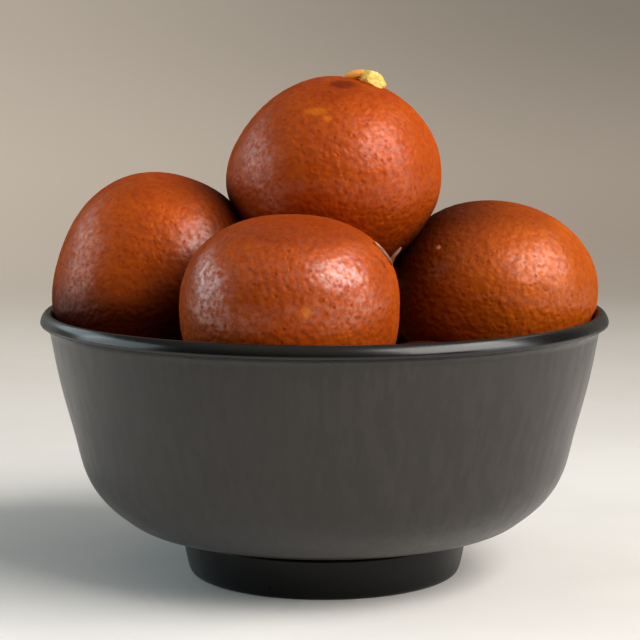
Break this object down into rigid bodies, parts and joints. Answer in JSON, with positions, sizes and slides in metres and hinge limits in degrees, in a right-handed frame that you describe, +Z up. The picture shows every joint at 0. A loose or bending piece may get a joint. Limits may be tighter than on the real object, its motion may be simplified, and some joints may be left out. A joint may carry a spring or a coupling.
{
  "type": "bowl of gulab jamun",
  "caption": "Fried milk dumplings heaped in a dark satin dessert bowl with a rolled lip and a round foot, the top dumpling crowned with a nut chunk.",
  "frame": {"origin": "centre of the foot, on the plane that the bowl stands on", "axes": "+Z up; -Y towards the front of the heap, +X to its right"},
  "size_m": [0.115, 0.115, 0.1025],
  "materials": {
    "bowl": "satin dark charcoal brown, glossier on the lip",
    "jamun": "red-brown fried skin, finely wrinkled, moist with syrup"
  },
  "bodies": {
    "root": {"bowl": "bowl", "jamun_left": "jamun", "jamun_front": "jamun", "jamun_right": "jamun", "jamun_top": "jamun", "jamun_back": "jamun", "jamun_under_right_back": "jamun", "jamun_under_left_back": "jamun", "jamun_under_left_front": "jamun", "jamun_under_right_front": "jamun"}
  },
  "joints": []
}
